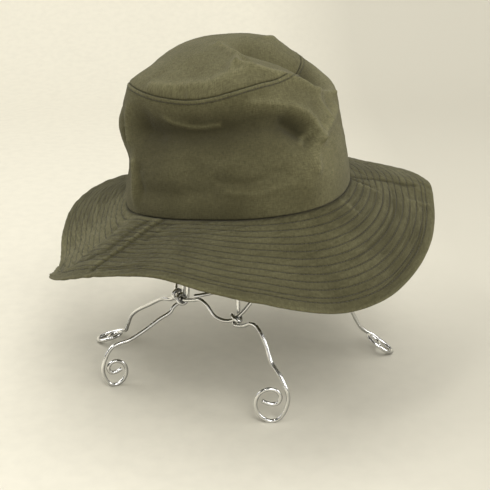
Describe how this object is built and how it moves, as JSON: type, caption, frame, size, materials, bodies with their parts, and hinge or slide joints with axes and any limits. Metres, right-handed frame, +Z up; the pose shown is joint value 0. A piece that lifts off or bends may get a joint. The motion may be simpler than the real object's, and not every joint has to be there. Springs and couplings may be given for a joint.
{
  "type": "hiking hat on wire stand",
  "caption": "Cloth hiking hat with a soft dented crown and a wavy quilted brim, resting on a stand of bent round wire with scroll feet.",
  "frame": {"origin": "on the floor, under the middle of the hat and stand seen from above", "axes": "+Z up, -Y the front that faces the viewer in the picture, +X the viewer's right"},
  "size_m": [0.309, 0.331, 0.2749],
  "materials": {
    "crown_cloth": "matt, finely woven",
    "brim_cloth": "matt, woven and quilted in rings",
    "stand_wire": "polished"
  },
  "bodies": {
    "root": {"crown_tip": "crown_cloth", "crown_side": "crown_cloth", "brim": "brim_cloth", "leg_wire_left_back": "stand_wire", "leg_wire_left_front": "stand_wire", "leg_wire_front": "stand_wire", "leg_wire_right": "stand_wire", "waist_ring": "stand_wire", "waist_brace": "stand_wire", "top_ring": "stand_wire"}
  },
  "joints": []
}
